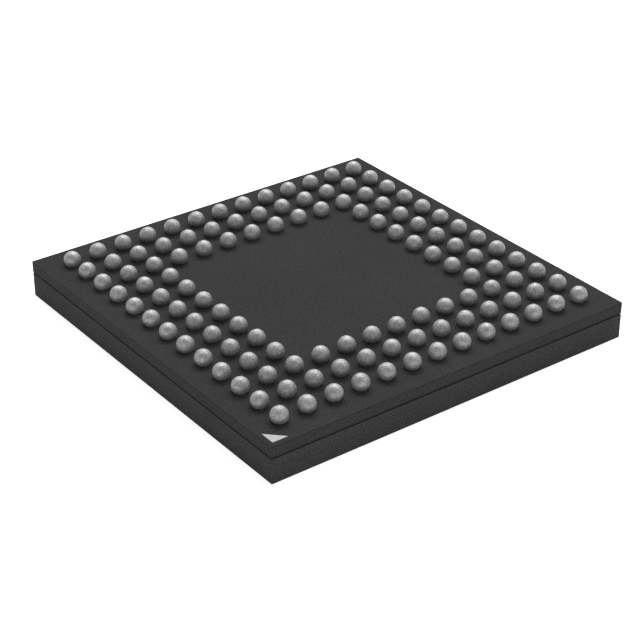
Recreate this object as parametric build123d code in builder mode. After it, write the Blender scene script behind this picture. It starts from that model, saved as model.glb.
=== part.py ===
from build123d import *
import math
import os

# A 7 mm square, 120-ball fine-pitch ball grid array microcontroller package, in millimetres with +Z up.
# It lies on its marking face with the solder balls up, as such parts are shown to explain their ball
# map. The origin is the centre of the marking face, and ball A1 stands in the -X -Y corner.
os.makedirs("parts", exist_ok=True)

# Ball grid
ball_pitch = 0.50
balls_per_side = 13
ball_rings = 3
edge_margin = 0.50  # outermost ball centres to the sawn edge
row_letters = "ABCDEFGHJKLMNPRTUVWY"  # I, O, Q, S, X and Z are skipped, as on every ball map

# Solder balls, as they stand after reflow
ball_diameter = 0.29
ball_collapse = 0.055  # how far the molten ball sank below the mask face

# Substrate layers, from the middle outwards
laminate_thickness = 0.14
copper_thickness = 0.018
mask_over_copper = 0.012
land_overlap = 0.045  # copper hidden under the mask around each ball
via_diameter = 0.10
via_pad_ring = 0.04  # copper left around a via
trace_width = 0.06
trace_angle = 135  # a -Y side trace runs inwards and to the left, from its ball to its via

# Bond fingers and the windows that bare them
finger_width = 0.10
finger_length = 0.28  # from the via's centre to the tip
finger_tip_cover = 0.02  # mask over the tip
window_width = 0.14
window_end_margin = 0.12  # window past the last finger's centre line

# Die and the copper plane behind it
die_to_finger_gap = 0.22
die_thickness = 0.15
die_film_thickness = 0.02
plane_margin = 0.06  # copper plane past the die's edge

# Gold wires
wire_width = 0.02
bond_pad_inset = 0.08
bond_pad_corner_gap = 0.15
stitch_length = 0.03
stitch_inset = 0.03  # stitch end to the window's edge
shortest_loop = 0.06  # height above the die face
loop_step = 0.03  # each farther row of fingers gets a higher loop

# Moulding
mould_over_wires = 0.16
groove_height = 0.02
groove_depth = 0.012

# Corner mark of ball A1
mark_leg = 0.27
mark_margin = 0.08
mark_thickness = 0.008

# Sizes that follow from those above
half_span = (balls_per_side - 1) * ball_pitch / 2
body_side = 2 * (half_span + edge_margin)
ball_radius = ball_diameter / 2
opening_radius = math.sqrt(ball_radius**2 - (ball_radius - ball_collapse) ** 2)
land_radius = opening_radius + land_overlap
via_radius = via_diameter / 2
via_pad_radius = via_radius + via_pad_ring
mask_thickness = copper_thickness + mask_over_copper

# Distances of the via rows, and of the window behind each, from the package's centre
via_rows = [half_span - (ring + 0.5) * ball_pitch for ring in range(ball_rings)]
window_setback = finger_length - finger_tip_cover - window_width / 2
stitch_offset = window_width / 2 - stitch_inset
die_half = via_rows[-1] - finger_length - die_to_finger_gap
loop_heights = [shortest_loop + loop_step * (ball_rings - 1 - ring) for ring in range(ball_rings)]

# Levels above the marking face
mould_top = die_film_thickness + die_thickness + loop_heights[0] + mould_over_wires
film_bottom = mould_top - die_film_thickness
die_face = film_bottom - die_thickness
laminate_bottom = mould_top + mask_thickness
finger_face = laminate_bottom - copper_thickness
laminate_top = laminate_bottom + laminate_thickness
land_face = laminate_top + copper_thickness
ball_side_face = land_face + mask_over_copper
ball_centre = ball_side_face + ball_radius - ball_collapse
ball_crown = ball_centre + ball_radius


def grid_place(index):
    """Distance of a ball row or column from the package's centre."""
    return index * ball_pitch - half_span


def row_seats(row):
    """Ball places of one lettered row; only the outer rings are populated."""
    last = balls_per_side - 1
    columns = range(balls_per_side)
    rings = [min(row, last - row, column, last - column) for column in columns]
    return [(grid_place(c), grid_place(row)) for c in columns if rings[c] < ball_rings]


def front_balls(ring):
    """Ball places of one ring along the -Y side, without the two on the diagonals."""
    return [(grid_place(c), grid_place(ring)) for c in range(ring + 1, balls_per_side - ring - 1)]


def front_vias(ring):
    """Each of those balls has its via half a pitch inwards and half a pitch to the left."""
    return [(x - ball_pitch / 2, y + ball_pitch / 2) for x, y in front_balls(ring)]


all_seats = [seat for row in range(balls_per_side) for seat in row_seats(row)]
all_front_balls = [place for ring in range(ball_rings) for place in front_balls(ring)]
all_front_vias = [place for ring in range(ball_rings) for place in front_vias(ring)]

# Each trace is laid from its middle, halfway between its ball and its via
all_front_traces = [
    Location((x - ball_pitch / 4, y + ball_pitch / 4, 0), (0, 0, trace_angle))
    for x, y in all_front_balls
]

# Flat patterns that more than one layer is made from
with BuildSketch() as body_outline:
    Rectangle(body_side, body_side)

with BuildSketch() as via_holes:
    with PolarLocations(0, 4):
        with Locations(*all_front_vias):
            Circle(via_radius)

# Ball side copper: a round land under every ball, with a short trace to its via
with BuildSketch() as land_pattern:
    with Locations(*all_seats):
        Circle(land_radius)
    with PolarLocations(0, 4):
        with Locations(*all_front_traces):
            Rectangle(ball_pitch / math.sqrt(2), trace_width)
        with Locations(*all_front_vias):
            Circle(via_pad_radius)

# Die side copper: every via pad runs into a bond finger that points at the die
with BuildSketch() as finger_pattern:
    with PolarLocations(0, 4):
        with Locations(*all_front_vias):
            Circle(via_pad_radius)
            Rectangle(finger_width, finger_length, align=(Align.CENTER, Align.MIN))

with BuildSketch() as plane_pattern:
    Rectangle(2 * (die_half + plane_margin), 2 * (die_half + plane_margin))

# One window in the mask for each row of fingers on each side
with BuildSketch() as window_pattern:
    with PolarLocations(0, 4):
        for ring in range(ball_rings):
            first_x = front_vias(ring)[0][0] - window_end_margin
            last_x = front_vias(ring)[-1][0] + window_end_margin
            with Locations(((first_x + last_x) / 2, window_setback - via_rows[ring])):
                Rectangle(last_x - first_x, window_width)

# Laminate core, drilled for the vias
with BuildPart() as laminate_core:
    with BuildSketch(Plane.XY.offset(laminate_bottom)):
        add(body_outline.sketch)
        add(via_holes.sketch, mode=Mode.SUBTRACT)
    extrude(amount=laminate_thickness)

# Copper-filled vias
with BuildPart() as vias:
    with BuildSketch(Plane.XY.offset(laminate_bottom)):
        add(via_holes.sketch)
    extrude(amount=laminate_thickness)

with BuildPart() as ball_lands:
    with BuildSketch(Plane.XY.offset(laminate_top)):
        add(land_pattern.sketch)
    extrude(amount=copper_thickness)

with BuildPart() as bond_fingers:
    with BuildSketch(Plane.XY.offset(laminate_bottom)):
        add(finger_pattern.sketch)
    extrude(amount=-copper_thickness)

with BuildPart() as die_plane:
    with BuildSketch(Plane.XY.offset(laminate_bottom)):
        add(plane_pattern.sketch)
    extrude(amount=-copper_thickness)

# Ball side solder mask: it fills between the copper, and is open over each land
with BuildPart() as ball_side_mask:
    with BuildSketch(Plane.XY.offset(laminate_top)):
        add(body_outline.sketch)
        add(land_pattern.sketch, mode=Mode.SUBTRACT)
    extrude(amount=copper_thickness)
    with BuildSketch(Plane.XY.offset(land_face)):
        add(body_outline.sketch)
        with Locations(*all_seats):
            Circle(opening_radius, mode=Mode.SUBTRACT)
    extrude(amount=mask_over_copper)

# Die side solder mask: the same, with windows over the bond fingers
with BuildPart() as die_side_mask:
    with BuildSketch(Plane.XY.offset(laminate_bottom)):
        add(body_outline.sketch)
        add(window_pattern.sketch, mode=Mode.SUBTRACT)
        add(finger_pattern.sketch, mode=Mode.SUBTRACT)
        add(plane_pattern.sketch, mode=Mode.SUBTRACT)
    extrude(amount=-copper_thickness)
    with BuildSketch(Plane.XY.offset(finger_face)):
        add(body_outline.sketch)
        add(window_pattern.sketch, mode=Mode.SUBTRACT)
    extrude(amount=-mask_over_copper)

# Die, hung under the substrate on its adhesive film
with BuildPart() as die_attach_film:
    with BuildSketch(Plane.XY.offset(film_bottom)):
        Rectangle(2 * die_half, 2 * die_half)
    extrude(amount=die_film_thickness)

with BuildPart() as silicon_die:
    with BuildSketch(Plane.XY.offset(die_face)):
        Rectangle(2 * die_half, 2 * die_half)
    extrude(amount=die_thickness)

# Gold wires of one side, fanned out from the die's edge in the order of the fingers' bearings.
# Each rises off its pad, runs level to its shoulder and slopes back to a stitch on the finger.
stitches = [
    (via[0], window_setback - via_rows[ring] - stitch_offset, loop_heights[ring])
    for ring in range(ball_rings)
    for via in front_vias(ring)
]
stitches.sort(key=lambda stitch: stitch[0] / -stitch[1])
pad_span = 2 * (die_half - bond_pad_corner_gap)
pad_pitch = pad_span / (len(stitches) - 1)

with BuildPart() as front_wires:
    for index, (stitch_x, stitch_y, loop_height) in enumerate(stitches):
        pad = Vector(index * pad_pitch - pad_span / 2, bond_pad_inset - die_half, 0)
        reach = Vector(stitch_x, stitch_y, 0) - pad
        loop_plane = Plane(origin=pad, x_dir=reach, z_dir=reach.cross(Vector(0, 0, 1)))
        loop_level = die_face - loop_height
        with BuildSketch(loop_plane):
            with BuildLine():
                Polyline(
                    (-wire_width / 2, die_face),
                    (-wire_width / 2, loop_level),
                    (reach.length / 2, loop_level),
                    (reach.length - stitch_length, finger_face - wire_width),
                    (reach.length, finger_face - wire_width),
                )
                offset(amount=wire_width, kind=Kind.INTERSECTION, side=Side.LEFT)
            make_face()
        extrude(amount=wire_width / 2, both=True)

wire_sides = {}
for turn, side in enumerate(["front", "right", "back", "left"]):
    with BuildPart() as side_wires:
        add(front_wires.part, rotation=(0, 0, 90 * turn))
    wire_sides[f"bond_wires_{side}"] = side_wires

# Mould cap: moulded over the die and the wires, then sawn flush with the substrate.
# A fine groove is left along the joint, and the compound fills the mask's windows.
with BuildPart() as mould_cap:
    with BuildSketch():
        add(body_outline.sketch)
    extrude(amount=mould_top)
    with BuildSketch(Plane.XY.offset(mould_top)):
        add(body_outline.sketch)
        offset(body_outline.sketch, amount=-groove_depth, kind=Kind.INTERSECTION, mode=Mode.SUBTRACT)
    extrude(amount=-groove_height, mode=Mode.SUBTRACT)
    with BuildSketch(Plane.XY.offset(mould_top)):
        add(window_pattern.sketch)
    extrude(amount=mask_thickness)
    add(bond_fingers.part, mode=Mode.SUBTRACT)
    add(die_attach_film.part, mode=Mode.SUBTRACT)
    add(silicon_die.part, mode=Mode.SUBTRACT)
    for side_wires in wire_sides.values():
        add(side_wires.part, mode=Mode.SUBTRACT)

# Corner mark of ball A1, printed on the mask with its short sides along the sawn edges
mark_corner = mark_margin - body_side / 2
with BuildPart() as corner_mark:
    with BuildSketch(Plane.XY.offset(ball_side_face)):
        with BuildLine():
            Polyline(
                (mark_corner, mark_corner),
                (mark_corner + mark_leg, mark_corner),
                (mark_corner, mark_corner + mark_leg),
                close=True,
            )
        make_face()
    extrude(amount=mark_thickness)

# One solder ball: a sphere cut off at the mask, with a neck that fills the mask's opening down to the land
with BuildPart() as ball:
    with BuildSketch(Plane.XZ):
        with BuildLine():
            Line((0, land_face), (opening_radius, land_face))
            Line((opening_radius, land_face), (opening_radius, ball_side_face))
            ThreePointArc((opening_radius, ball_side_face), (ball_radius, ball_centre), (0, ball_crown))
            Line((0, ball_crown), (0, land_face))
        make_face()
    revolve(axis=Axis.Z)

pieces = {
    "mould_cap": mould_cap,
    "silicon_die": silicon_die,
    "die_attach_film": die_attach_film,
    "die_side_solder_mask": die_side_mask,
    "bond_fingers": bond_fingers,
    "die_ground_plane": die_plane,
    "laminate_core": laminate_core,
    "filled_vias": vias,
    "ball_lands": ball_lands,
    "ball_side_solder_mask": ball_side_mask,
    "pin_a1_corner_mark": corner_mark,
}
pieces.update(wire_sides)

# The balls are grouped by the letter of their row, as the ball map names them
for row in range(balls_per_side):
    with BuildPart() as ball_row:
        with Locations(*row_seats(row)):
            add(ball.part)
    pieces[f"solder_balls_row_{row_letters[row].lower()}"] = ball_row

for name, piece in pieces.items():
    piece.part.label = name
    export_step(piece.part, f"parts/{name}.step")
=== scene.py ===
"""Looks of a fine-pitch ball grid array microcontroller that lies with its solder balls up."""
import math
import random

import bpy
from mathutils import Matrix, Vector


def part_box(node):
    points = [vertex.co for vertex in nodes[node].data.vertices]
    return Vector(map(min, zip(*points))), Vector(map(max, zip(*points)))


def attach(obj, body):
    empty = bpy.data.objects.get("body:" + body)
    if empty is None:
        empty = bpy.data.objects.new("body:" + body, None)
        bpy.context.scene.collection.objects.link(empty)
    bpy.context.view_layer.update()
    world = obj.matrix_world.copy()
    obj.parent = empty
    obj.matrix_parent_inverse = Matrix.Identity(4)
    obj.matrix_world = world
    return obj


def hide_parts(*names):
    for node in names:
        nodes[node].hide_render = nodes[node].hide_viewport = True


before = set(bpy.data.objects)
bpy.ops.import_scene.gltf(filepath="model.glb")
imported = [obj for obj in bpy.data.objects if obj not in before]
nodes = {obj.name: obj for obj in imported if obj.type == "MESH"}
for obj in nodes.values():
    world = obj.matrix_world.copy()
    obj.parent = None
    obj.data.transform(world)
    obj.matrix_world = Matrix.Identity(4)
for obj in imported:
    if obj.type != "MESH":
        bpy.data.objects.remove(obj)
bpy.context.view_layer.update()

bpy.ops.object.select_all(action="DESELECT")

# Mould cap. The real one is black epoxy compound, full of fine silica, moulded over the die and the
# wires. The marking face keeps the mould's spark-eroded grain, and the four sides show the saw's track.
mm_per_metre = 1000
noise_low = 0.3  # nearly all of a noise lies between this and the next
noise_high = 0.7
cloud_per_mm = 0.9
cloud_swing = 0.06
speck_swing = 0.38
polish_swing = 0.06
polish_to_grain = 0.6  # cells of the polish to each cell of the grain
track_swing = 0.08
track_stretch = (0.5, 0.5, 30)  # long across a side, thin up it
upright_limit = 0.5
sawn_rougher = 0.18
resin_gloss = 0.03
cap_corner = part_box("mould_cap")[1] * mm_per_metre
groove_least_depth = 0.003  # millimetres, as in the finishes
groove_outline = cap_corner.x - groove_least_depth
groove_base = cap_corner.z / 2


def add_node(tree, kind, **settings):
    """Adds a node; a setting that is one of its sockets is set there, and any other on the node."""
    node = tree.nodes.new(kind)
    for name, value in settings.items():
        socket = node.inputs.get(name.replace("_", " "))
        if socket is None:
            setattr(node, name, value)
        else:
            socket.default_value = value
    return node


def grain(tree, place, per_mm, detail=3.0, roughness=0.6):
    """Noise with that many cells to the millimetre, read from the piece's own coordinates."""
    noise = add_node(tree, "ShaderNodeTexNoise", Scale=per_mm, Detail=detail, Roughness=roughness)
    tree.links.new(place, noise.inputs["Vector"])
    return noise.outputs["Fac"]


def vary(tree, noise, middle, swing):
    """A number that follows a noise up and down from the middle; a negative swing turns it over."""
    ramp = add_node(tree, "ShaderNodeMapRange", From_Min=noise_low, From_Max=noise_high,
                    To_Min=middle - swing, To_Max=middle + swing)
    tree.links.new(noise, ramp.inputs["Value"])
    return ramp.outputs["Result"]


def join(tree, operation, first, second):
    """One step of arithmetic on two values, either of which may be a plain number."""
    step = add_node(tree, "ShaderNodeMath", operation=operation)
    for socket, value in zip(step.inputs, (first, second)):
        if isinstance(value, (int, float)):
            socket.default_value = value
        else:
            tree.links.new(value, socket)
    return step.outputs["Value"]


def start_finish(name, metallic=0.0):
    """A new material with its shader, and the piece's own coordinates in millimetres."""
    finish = bpy.data.materials.new(name)
    finish.use_nodes = True
    tree = finish.node_tree
    shader = tree.nodes["Principled BSDF"]
    shader.inputs["Metallic"].default_value = metallic
    coordinates = add_node(tree, "ShaderNodeTexCoord")
    millimetres = add_node(tree, "ShaderNodeMapping", Scale=(mm_per_metre, mm_per_metre, mm_per_metre))
    tree.links.new(coordinates.outputs["Object"], millimetres.inputs["Vector"])
    return finish, tree, shader, millimetres.outputs["Vector"]


def tint(tree, shader, colour, factor):
    """Base colour: the written colour times a factor that varies over the surface."""
    shade = add_node(tree, "ShaderNodeVectorMath", operation="SCALE")
    shade.inputs[0].default_value = colour
    tree.links.new(factor, shade.inputs["Scale"])
    tree.links.new(shade.outputs["Vector"], shader.inputs["Base Color"])


def relief(tree, shader, height, depth=1.0):
    """Bump of that height times that depth, in metres."""
    bump = add_node(tree, "ShaderNodeBump", Strength=1.0, Distance=depth)
    tree.links.new(height, bump.inputs["Height"])
    tree.links.new(bump.outputs["Normal"], shader.inputs["Normal"])


def upright(tree):
    """1 on sawn sides and 0 on level faces, from the face's own normal."""
    geometry = add_node(tree, "ShaderNodeNewGeometry")
    split = add_node(tree, "ShaderNodeSeparateXYZ")
    tree.links.new(geometry.outputs["Normal"], split.inputs["Vector"])
    return join(tree, "LESS_THAN", join(tree, "ABSOLUTE", split.outputs["Z"], 0), upright_limit)


def saw_track(tree, place):
    """Fine scratches that run along the sides, level with the faces."""
    stretch = add_node(tree, "ShaderNodeMapping", Scale=track_stretch)
    tree.links.new(place, stretch.inputs["Vector"])
    return grain(tree, stretch.outputs["Vector"], per_mm=2.0, detail=4.0)


def in_groove(tree, place):
    """1 inside the four sides of the cap's upper half, where only the groove is in the open, else 0."""
    split = add_node(tree, "ShaderNodeSeparateXYZ")
    tree.links.new(place, split.inputs["Vector"])
    across, along = (join(tree, "ABSOLUTE", split.outputs[axis], 0) for axis in ("X", "Y"))
    within = join(tree, "LESS_THAN", join(tree, "MAXIMUM", across, along), groove_outline)
    return join(tree, "MULTIPLY", within, join(tree, "GREATER_THAN", split.outputs["Z"], groove_base))


def resin_finish(name, colour, grain_per_mm, grain_depth, track_depth, roughness, sawn_painted_paler,
                 painted_groove_shade=1.0):
    """Filled resin: cloudy at a millimetre, grained at a few hundredths. Where it is sawn it is scratched,
    and paler by that share, which is painted light that stands in for light the sawn sides lack. Inside a
    groove along its joint, painted shade keeps only the groove shade of its tone."""
    finish, tree, shader, place = start_finish(name)
    fine_grain = grain(tree, place, per_mm=grain_per_mm)
    cloud = vary(tree, grain(tree, place, per_mm=cloud_per_mm, detail=2.0), 1, cloud_swing)
    speck = vary(tree, fine_grain, 1, speck_swing)
    track = saw_track(tree, place)
    sawn = upright(tree)
    # Painted light: the sawn sides are made paler than the level faces, and the saw track's scratches vary
    # that tone.
    track_and_painted_light = join(tree, "MULTIPLY", sawn, vary(tree, track, sawn_painted_paler, track_swing))
    tone = join(tree, "MULTIPLY", join(tree, "ADD", cloud, track_and_painted_light), speck)
    # Painted shade: inside the groove the tone keeps only the groove shade's share.
    painted_groove_shadow = join(tree, "MULTIPLY", in_groove(tree, place), 1 - painted_groove_shade)
    tint(tree, shader, colour, join(tree, "MULTIPLY", tone, join(tree, "SUBTRACT", 1, painted_groove_shadow)))
    polish = vary(tree, grain(tree, place, per_mm=grain_per_mm * polish_to_grain), roughness, polish_swing)
    torn = join(tree, "MULTIPLY", sawn, sawn_rougher)
    tree.links.new(join(tree, "ADD", polish, torn), shader.inputs["Roughness"])
    pits = join(tree, "MULTIPLY", fine_grain, grain_depth)
    scratches = join(tree, "MULTIPLY", join(tree, "MULTIPLY", track, sawn), track_depth)
    relief(tree, shader, join(tree, "ADD", pits, scratches))
    shader.inputs["Specular IOR Level"].default_value = resin_gloss
    return finish


def dress(names, finish):
    """Gives CAD nodes a finish in their material slots."""
    for name in names:
        slots = nodes[name].data.materials
        slots.clear()
        slots.append(finish)


# Its sawn sides are made paler by painted light.
mould_compound = resin_finish(
    "mould_compound", colour=(0.042, 0.042, 0.042), grain_per_mm=30, grain_depth=0.000004,
    # painted shade in the groove: its walls keep a quarter of the tone
    track_depth=0.000004, roughness=0.62, sawn_painted_paler=0.69, painted_groove_shade=0.25,
)
dress(["mould_cap"], mould_compound)

# Substrate. The laminate core is black resin on woven glass, cut by the same saw as the mould cap,
# and a thin black solder mask is printed and cured on both of its faces, with a matte, even grain.
mask_grain_per_mm = 34
mask_grain_depth = 0.000003
# The sawn sides of both are made paler by painted light.
laminate = resin_finish(
    "black_laminate", colour=(0.042, 0.042, 0.042), grain_per_mm=30, grain_depth=0.000003,
    track_depth=0.000003, roughness=0.62, sawn_painted_paler=0.45,
)
solder_mask = resin_finish(
    "black_solder_mask", colour=(0.047, 0.047, 0.047), grain_per_mm=mask_grain_per_mm,
    grain_depth=mask_grain_depth, track_depth=0.000002, roughness=0.58, sawn_painted_paler=0.07,
)
dress(["laminate_core"], laminate)
dress(["ball_side_solder_mask", "die_side_solder_mask"], solder_mask)

# Copper of the substrate: etched foil for the lands, fingers and ground plane, and plated vias. It is
# covered by the mask and the balls, and is finished as bright, faintly uneven copper.
metal_tone_swing = 0.1
metal_polish_swing = 0.08


def metal_finish(name, colour, grain_per_mm, grain_depth, roughness):
    """Plain metal with a slight unevenness in tone and polish."""
    finish, tree, shader, place = start_finish(name, metallic=1.0)
    uneven = grain(tree, place, per_mm=grain_per_mm)
    tint(tree, shader, colour, vary(tree, uneven, 1, metal_tone_swing))
    tree.links.new(vary(tree, uneven, roughness, -metal_polish_swing), shader.inputs["Roughness"])
    relief(tree, shader, uneven, grain_depth)
    return finish


copper = metal_finish(
    "etched_copper", colour=(0.72, 0.42, 0.28), grain_per_mm=20, grain_depth=0.000001, roughness=0.38,
)
dress(["ball_lands", "bond_fingers", "die_ground_plane", "filled_vias"], copper)

# Bond wires. Each is thin drawn gold, bonded to the die at one end and to a copper finger at the
# other, in a loop. The mould cap seals them in.
gold = metal_finish(
    "drawn_gold", colour=(0.95, 0.72, 0.33), grain_per_mm=40, grain_depth=0.0000005, roughness=0.25,
)
dress(["bond_wires_front", "bond_wires_right", "bond_wires_back", "bond_wires_left"], gold)

# Die and its film. The die is a square of polished silicon, sawn from a wafer and stuck to the
# substrate by its back, with a thin film of filled resin. The mould cap seals in both.
silicon = metal_finish(
    "polished_silicon", colour=(0.20, 0.21, 0.23), grain_per_mm=6, grain_depth=0.0000002, roughness=0.2,
)
film = resin_finish(
    "die_film", colour=(0.52, 0.49, 0.43), grain_per_mm=40, grain_depth=0.000001,
    track_depth=0.0, roughness=0.5, sawn_painted_paler=0.82,
)
dress(["silicon_die"], silicon)
dress(["die_attach_film"], film)

# Corner mark of ball A1. It is a small triangle of pale ink, screen printed on the solder mask and
# cured matte, and so thin that the mask's grain shows in it.
ink_tone_swing = 0.22
ink_roughness = 0.675
ink_polish_swing = 0.075


def ink_finish(name, colour):
    """Thin matte ink that shows the mask's grain."""
    finish, tree, shader, place = start_finish(name)
    speck = grain(tree, place, per_mm=mask_grain_per_mm)
    tint(tree, shader, colour, vary(tree, speck, 1, ink_tone_swing))
    tree.links.new(vary(tree, speck, ink_roughness, -ink_polish_swing), shader.inputs["Roughness"])
    relief(tree, shader, speck, mask_grain_depth)
    return finish


mark_ink = ink_finish("pale_ink", colour=(0.63, 0.63, 0.63))
dress(["pin_a1_corner_mark"], mark_ink)

# Solder balls: tin-silver-copper, melted onto their lands and left with a satin, slightly pitted skin.
# Each is a sphere cut off at the mask, with a short neck down to its land in the mask's opening.
row_letters = "abcdefghjklmn"
last_index = len(row_letters) - 1
filled_rings = 3
row_low, row_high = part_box("solder_balls_row_a")
mask_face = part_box("ball_side_solder_mask")[1].z
ball_radius = (row_high.y - row_low.y) / 2
ball_centre = row_high.z - ball_radius
first_place = row_low.x + ball_radius
ball_pitch = -2 * first_place / last_index
ball_subdivisions = 4
cut_tolerance = ball_radius / 100
facing_down = -0.99  # the cut's normal points down at least as steeply
turn_seed = 4  # each ball is turned by chance, so that its facets don't repeat
skin_lump = 0.000003
lump_size = 0.00012
crease_angle = math.radians(50)  # the neck's foot stays sharp, the skin is smooth
pit_depth = 0.000004
mottle_middle = 0.99
mottle_swing = 0.51
patch_swing = 0.07
solder_roughness = 0.58
solder_polish_swing = 0.06


def solder_finish(name, colour):
    """Satin solder: mottled at a few hundredths of a millimetre, duller in its pits."""
    finish, tree, shader, place = start_finish(name, metallic=0.75)
    mottle = grain(tree, place, per_mm=48, detail=4.0, roughness=0.7)
    patch = grain(tree, place, per_mm=7, detail=2.0)
    fine_tone = vary(tree, mottle, mottle_middle, mottle_swing)
    broad_tone = vary(tree, patch, 1, patch_swing)
    tint(tree, shader, colour, join(tree, "MULTIPLY", fine_tone, broad_tone))
    polish = vary(tree, mottle, solder_roughness, -solder_polish_swing)
    tree.links.new(polish, shader.inputs["Roughness"])
    relief(tree, shader, mottle, pit_depth)
    return finish


solder = solder_finish("satin_solder", colour=(0.51, 0.51, 0.515))

bpy.ops.mesh.primitive_ico_sphere_add(
    subdivisions=ball_subdivisions, radius=ball_radius, location=(0, 0, ball_centre),
)
master = bpy.context.object
bpy.ops.object.transform_apply(location=True, rotation=True, scale=True)
bpy.ops.object.mode_set(mode="EDIT")
bpy.ops.mesh.select_all(action="SELECT")
bpy.ops.mesh.bisect(plane_co=(0, 0, mask_face), plane_no=(0, 0, 1), use_fill=True, clear_inner=True)
bpy.ops.mesh.select_all(action="DESELECT")
bpy.ops.object.mode_set(mode="OBJECT")
for face in master.data.polygons:
    face.select = face.normal.z < facing_down and abs(face.center.z - mask_face) < cut_tolerance
bpy.ops.object.mode_set(mode="EDIT")
bpy.ops.mesh.extrude_region_move(TRANSFORM_OT_translate={"value": (0, 0, row_low.z - mask_face)})
bpy.ops.object.mode_set(mode="OBJECT")

lumps = bpy.data.textures.new("solder_lumps", "CLOUDS")
lumps.noise_scale = lump_size
turns = random.Random(turn_seed)
for row, letter in enumerate(row_letters):
    balls = []
    for column in range(last_index + 1):
        if min(row, last_index - row, column, last_index - column) >= filled_rings:
            continue
        ball = master.copy()
        ball.data = master.data.copy()
        seat = Vector((first_place + column * ball_pitch, first_place + row * ball_pitch, 0))
        ball.data.transform(Matrix.Translation(seat) @ Matrix.Rotation(turns.uniform(0, math.tau), 4, "Z"))
        bpy.context.collection.objects.link(ball)
        balls.append(ball)
    bpy.ops.object.select_all(action="DESELECT")
    for ball in balls:
        ball.select_set(True)
    row_of_balls = balls[0]
    bpy.context.view_layer.objects.active = row_of_balls
    bpy.ops.object.join()
    row_of_balls.name = f"reflowed_balls_{letter}"
    skin = row_of_balls.modifiers.new("skin", "DISPLACE")
    skin.texture = lumps
    skin.texture_coords = "LOCAL"
    skin.strength = skin_lump
    bpy.ops.object.modifier_apply(modifier=skin.name)
    bpy.ops.object.shade_smooth_by_angle(angle=crease_angle)
    row_of_balls.data.materials.clear()
    row_of_balls.data.materials.append(solder)
    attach(row_of_balls, "root")
    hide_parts(f"solder_balls_row_{letter}")
bpy.data.objects.remove(master)

# Table: a plain white sheet, larger than the view. The camera and gloss see it at full white, and the
# package's own shadow stays on it.
table_size = 0.6
table_white = 0.9
table_lift = 0.78  # glow that the camera and gloss see, and that lights nothing


def seen_directly(tree):
    """1 for what the camera, a gloss or a clear body sees, 0 for what only lights the package."""
    path = add_node(tree, "ShaderNodeLightPath")
    seen = join(tree, "MAXIMUM", path.outputs["Is Camera Ray"], path.outputs["Is Glossy Ray"])
    return join(tree, "MAXIMUM", seen, path.outputs["Is Transmission Ray"])


bpy.ops.mesh.primitive_plane_add(size=table_size, location=(0, 0, 0))
table = bpy.context.object
table.name = "table"
bpy.ops.object.transform_apply(location=True, rotation=True, scale=True)
paper = bpy.data.materials.new("white_sheet")
paper.use_nodes = True
paper_tree = paper.node_tree
paper_tree.nodes.clear()
matte = add_node(paper_tree, "ShaderNodeBsdfDiffuse", Color=(table_white, table_white, table_white, 1))
glow = add_node(paper_tree, "ShaderNodeEmission")
both = add_node(paper_tree, "ShaderNodeAddShader")
output = add_node(paper_tree, "ShaderNodeOutputMaterial")
lift = join(paper_tree, "MULTIPLY", seen_directly(paper_tree), table_lift)
paper_tree.links.new(lift, glow.inputs["Strength"])
paper_tree.links.new(matte.outputs["BSDF"], both.inputs[0])
paper_tree.links.new(glow.outputs["Emission"], both.inputs[1])
paper_tree.links.new(both.outputs["Shader"], output.inputs["Surface"])
table.data.materials.append(paper)

# Studio light, as the camera sees it: a wide soft box high behind the package, a weaker one on its left
# and on its right, a low strip in front that fills the sides, and an even surround.
surround_strength = 0.21
behind = Vector((0.039, 0.052, 0.076))
left = Vector((-0.065, 0.049, 0.058))
right = Vector((0.062, -0.031, 0.072))
front = Vector((-0.0596, -0.0798, 0.009))

world = bpy.data.worlds.new("surround")
bpy.context.scene.world = world
world.use_nodes = True
sky = world.node_tree
sky.nodes.clear()
surround = add_node(sky, "ShaderNodeBackground", Color=(1, 1, 1, 1), Strength=surround_strength)
sky_output = add_node(sky, "ShaderNodeOutputWorld")
sky.links.new(surround.outputs["Background"], sky_output.inputs["Surface"])


def soft_box(place, width, height, power):
    """A rectangular lamp at that place, turned towards the package."""
    facing = place.to_track_quat("Z", "Y").to_euler()
    bpy.ops.object.light_add(type="AREA", location=place, rotation=facing)
    lamp = bpy.context.object.data
    lamp.shape = "RECTANGLE"
    lamp.size = width
    lamp.size_y = height
    lamp.energy = power


soft_box(behind, width=0.090, height=0.030, power=0.075)
soft_box(left, width=0.080, height=0.055, power=0.0087)
soft_box(right, width=0.070, height=0.067, power=0.019)
soft_box(front, width=0.160, height=0.018, power=0.024)

# Camera: a 100 mm lens in front of the package and to its left, about 30 mm from its middle. It looks
# down on the ball side from 30 degrees above the table.
lens = 100.0
sensor_width = 36.0
nearest_seen = 0.001
farthest_seen = 10.0
azimuth = math.radians(-36.755)
elevation = math.radians(29.998)
distance = 0.029122
target = Vector((-0.000417, -0.000530, 0.000300))

back = Vector((
    math.sin(azimuth) * math.cos(elevation),
    -math.cos(azimuth) * math.cos(elevation),
    math.sin(elevation),
))
facing = (math.pi / 2 - elevation, 0, azimuth)
bpy.ops.object.camera_add(location=target + distance * back, rotation=facing)
camera = bpy.context.object
camera.data.lens = lens
camera.data.sensor_width = sensor_width
camera.data.clip_start = nearest_seen
camera.data.clip_end = farthest_seen
bpy.context.scene.camera = camera
bpy.context.scene.view_settings.view_transform = "Standard"
